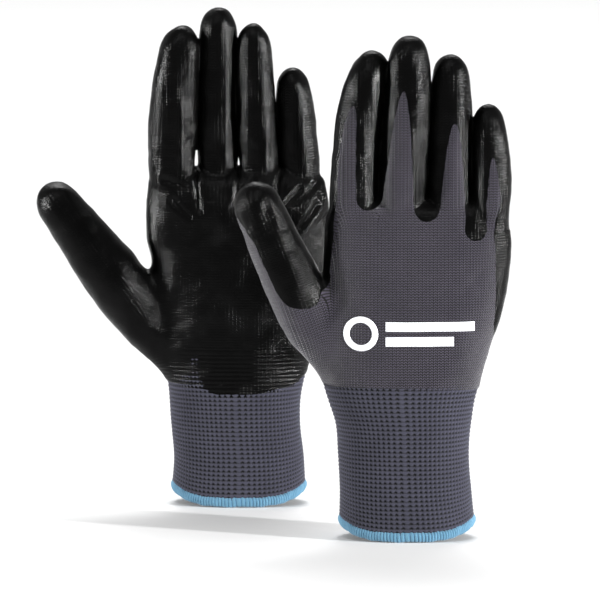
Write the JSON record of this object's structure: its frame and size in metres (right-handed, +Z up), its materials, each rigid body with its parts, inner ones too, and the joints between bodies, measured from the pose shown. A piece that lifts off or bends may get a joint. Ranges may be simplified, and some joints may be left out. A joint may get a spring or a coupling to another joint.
{
  "type": "work gloves",
  "caption": "Pair of seamless knitted work gloves, grey backs and ribbed cuffs with blue hems, black dipped coating on palms, thumbs and fingertips, standing upright.",
  "frame": {"origin": "middle of the pair's box, on the plane that the hems stand on", "axes": "+Z up towards the fingertips, +X from the left glove to the right glove, -Y towards the viewer"},
  "size_m": [0.2302, 0.1528, 0.245],
  "materials": {
    "liner_knit": "fine grey knit",
    "rib_knit": "coarse grey rib knit",
    "hem_yarn": "light blue overlocked yarn",
    "coating": "semi-gloss black dipped nitrile with fine grain"
  },
  "bodies": {
    "left_hand": {"left_hem": "hem_yarn", "left_rib_cuff": "rib_knit", "left_hand_liner": "liner_knit", "left_palm_coating": "coating"},
    "left_index_base": {"left_index_base": "liner_knit", "left_index_base_coating": "coating"},
    "left_index_tip": {"left_index_tip": "liner_knit", "left_index_tip_coating": "coating"},
    "left_middle_base": {"left_middle_base": "liner_knit", "left_middle_base_coating": "coating"},
    "left_middle_tip": {"left_middle_tip": "liner_knit", "left_middle_tip_coating": "coating"},
    "left_ring_base": {"left_ring_base": "liner_knit", "left_ring_base_coating": "coating"},
    "left_ring_tip": {"left_ring_tip": "liner_knit", "left_ring_tip_coating": "coating"},
    "left_little_base": {"left_little_base": "liner_knit", "left_little_base_coating": "coating"},
    "left_little_tip": {"left_little_tip": "liner_knit", "left_little_tip_coating": "coating"},
    "left_thumb_base": {"left_thumb_base": "liner_knit", "left_thumb_base_coating": "coating"},
    "left_thumb_tip": {"left_thumb_tip": "liner_knit", "left_thumb_tip_coating": "coating"},
    "right_hand": {"right_hem": "hem_yarn", "right_rib_cuff": "rib_knit", "right_hand_liner": "liner_knit", "right_palm_coating": "coating"},
    "right_index_base": {"right_index_base": "liner_knit", "right_index_base_coating": "coating"},
    "right_index_tip": {"right_index_tip": "liner_knit", "right_index_tip_coating": "coating"},
    "right_middle_base": {"right_middle_base": "liner_knit", "right_middle_base_coating": "coating"},
    "right_middle_tip": {"right_middle_tip": "liner_knit", "right_middle_tip_coating": "coating"},
    "right_ring_base": {"right_ring_base": "liner_knit", "right_ring_base_coating": "coating"},
    "right_ring_tip": {"right_ring_tip": "liner_knit", "right_ring_tip_coating": "coating"},
    "right_little_base": {"right_little_base": "liner_knit", "right_little_base_coating": "coating"},
    "right_little_tip": {"right_little_tip": "liner_knit", "right_little_tip_coating": "coating"},
    "right_thumb_base": {"right_thumb_base": "liner_knit", "right_thumb_base_coating": "coating"},
    "right_thumb_tip": {"right_thumb_tip": "liner_knit", "right_thumb_tip_coating": "coating"}
  },
  "joints": [
    {"name": "right_glove_slide", "type": "slide", "parent": "left_hand", "child": "right_hand", "axis": [1, 0, 0], "range_m": [0, 0.12]},
    {"name": "left_index_knuckle", "type": "hinge", "parent": "left_hand", "child": "left_index_base", "pos_m": [-0.04691, 0.0515, 0.174], "axis": [0.9993, 0, -0.0383], "range_deg": [0, 88], "stiffness_Nm_per_rad": 0.02},
    {"name": "left_index_tip_bend", "type": "hinge", "parent": "left_index_base", "child": "left_index_tip", "pos_m": [-0.04572, 0.0515, 0.205], "axis": [0.9993, 0, -0.0383], "range_deg": [0, 88], "stiffness_Nm_per_rad": 0.02},
    {"name": "left_middle_knuckle", "type": "hinge", "parent": "left_hand", "child": "left_middle_base", "pos_m": [-0.02614, 0.0515, 0.175], "axis": [1, 0, -0.0058], "range_deg": [0, 88], "stiffness_Nm_per_rad": 0.02},
    {"name": "left_middle_tip_bend", "type": "hinge", "parent": "left_middle_base", "child": "left_middle_tip", "pos_m": [-0.02593, 0.0515, 0.21], "axis": [1, 0, -0.0058], "range_deg": [0, 88], "stiffness_Nm_per_rad": 0.02},
    {"name": "left_ring_knuckle", "type": "hinge", "parent": "left_hand", "child": "left_ring_base", "pos_m": [-0.00667, 0.052, 0.174], "axis": [0.9999, 0, 0.0168], "range_deg": [0, 88], "stiffness_Nm_per_rad": 0.02},
    {"name": "left_ring_tip_bend", "type": "hinge", "parent": "left_ring_base", "child": "left_ring_tip", "pos_m": [-0.0072, 0.052, 0.2055], "axis": [0.9999, 0, 0.0168], "range_deg": [0, 88], "stiffness_Nm_per_rad": 0.02},
    {"name": "left_little_knuckle", "type": "hinge", "parent": "left_hand", "child": "left_little_base", "pos_m": [0.01338, 0.0525, 0.169], "axis": [0.9989, 0, 0.0478], "range_deg": [0, 88], "stiffness_Nm_per_rad": 0.02},
    {"name": "left_little_tip_bend", "type": "hinge", "parent": "left_little_base", "child": "left_little_tip", "pos_m": [0.01232, 0.0525, 0.191], "axis": [0.9989, 0, 0.0478], "range_deg": [0, 88], "stiffness_Nm_per_rad": 0.02},
    {"name": "left_thumb_knuckle", "type": "hinge", "parent": "left_hand", "child": "left_thumb_base", "pos_m": [-0.08283, 0.04834, 0.12237], "axis": [0.7746, 0.2884, 0.5628], "range_deg": [0, 50], "stiffness_Nm_per_rad": 0.02},
    {"name": "left_thumb_tip_bend", "type": "hinge", "parent": "left_thumb_base", "child": "left_thumb_tip", "pos_m": [-0.09576, 0.04834, 0.14017], "axis": [0.7746, 0.2884, 0.5628], "range_deg": [0, 50], "stiffness_Nm_per_rad": 0.02},
    {"name": "right_index_knuckle", "type": "hinge", "parent": "right_hand", "child": "right_index_base", "pos_m": [0.0416, -0.0515, 0.174], "axis": [-0.9952, 0, 0.0974], "range_deg": [0, 88], "stiffness_Nm_per_rad": 0.02},
    {"name": "right_index_tip_bend", "type": "hinge", "parent": "right_index_base", "child": "right_index_tip", "pos_m": [0.04464, -0.0515, 0.205], "axis": [-0.9952, 0, 0.0974], "range_deg": [0, 88], "stiffness_Nm_per_rad": 0.02},
    {"name": "right_middle_knuckle", "type": "hinge", "parent": "right_hand", "child": "right_middle_base", "pos_m": [0.06353, -0.0515, 0.175], "axis": [-0.9984, 0, 0.0562], "range_deg": [0, 88], "stiffness_Nm_per_rad": 0.02},
    {"name": "right_middle_tip_bend", "type": "hinge", "parent": "right_middle_base", "child": "right_middle_tip", "pos_m": [0.0655, -0.0515, 0.21], "axis": [-0.9984, 0, 0.0562], "range_deg": [0, 88], "stiffness_Nm_per_rad": 0.02},
    {"name": "right_ring_knuckle", "type": "hinge", "parent": "right_hand", "child": "right_ring_base", "pos_m": [0.08508, -0.052, 0.174], "axis": [-0.9993, 0, 0.0379], "range_deg": [0, 88], "stiffness_Nm_per_rad": 0.02},
    {"name": "right_ring_tip_bend", "type": "hinge", "parent": "right_ring_base", "child": "right_ring_tip", "pos_m": [0.08628, -0.052, 0.2055], "axis": [-0.9993, 0, 0.0379], "range_deg": [0, 88], "stiffness_Nm_per_rad": 0.02},
    {"name": "right_little_knuckle", "type": "hinge", "parent": "right_hand", "child": "right_little_base", "pos_m": [0.10526, -0.0525, 0.169], "axis": [-0.9993, 0, 0.0366], "range_deg": [0, 88], "stiffness_Nm_per_rad": 0.02},
    {"name": "right_little_tip_bend", "type": "hinge", "parent": "right_little_base", "child": "right_little_tip", "pos_m": [0.10606, -0.0525, 0.191], "axis": [-0.9993, 0, 0.0366], "range_deg": [0, 88], "stiffness_Nm_per_rad": 0.02},
    {"name": "right_thumb_knuckle", "type": "hinge", "parent": "right_hand", "child": "right_thumb_base", "pos_m": [0.00792, -0.04845, 0.13262], "axis": [-0.8844, 0.3293, -0.3307], "range_deg": [0, 50], "stiffness_Nm_per_rad": 0.02},
    {"name": "right_thumb_tip_bend", "type": "hinge", "parent": "right_thumb_base", "child": "right_thumb_tip", "pos_m": [0.00022, -0.04845, 0.15322], "axis": [-0.8844, 0.3293, -0.3307], "range_deg": [0, 50], "stiffness_Nm_per_rad": 0.02}
  ]
}
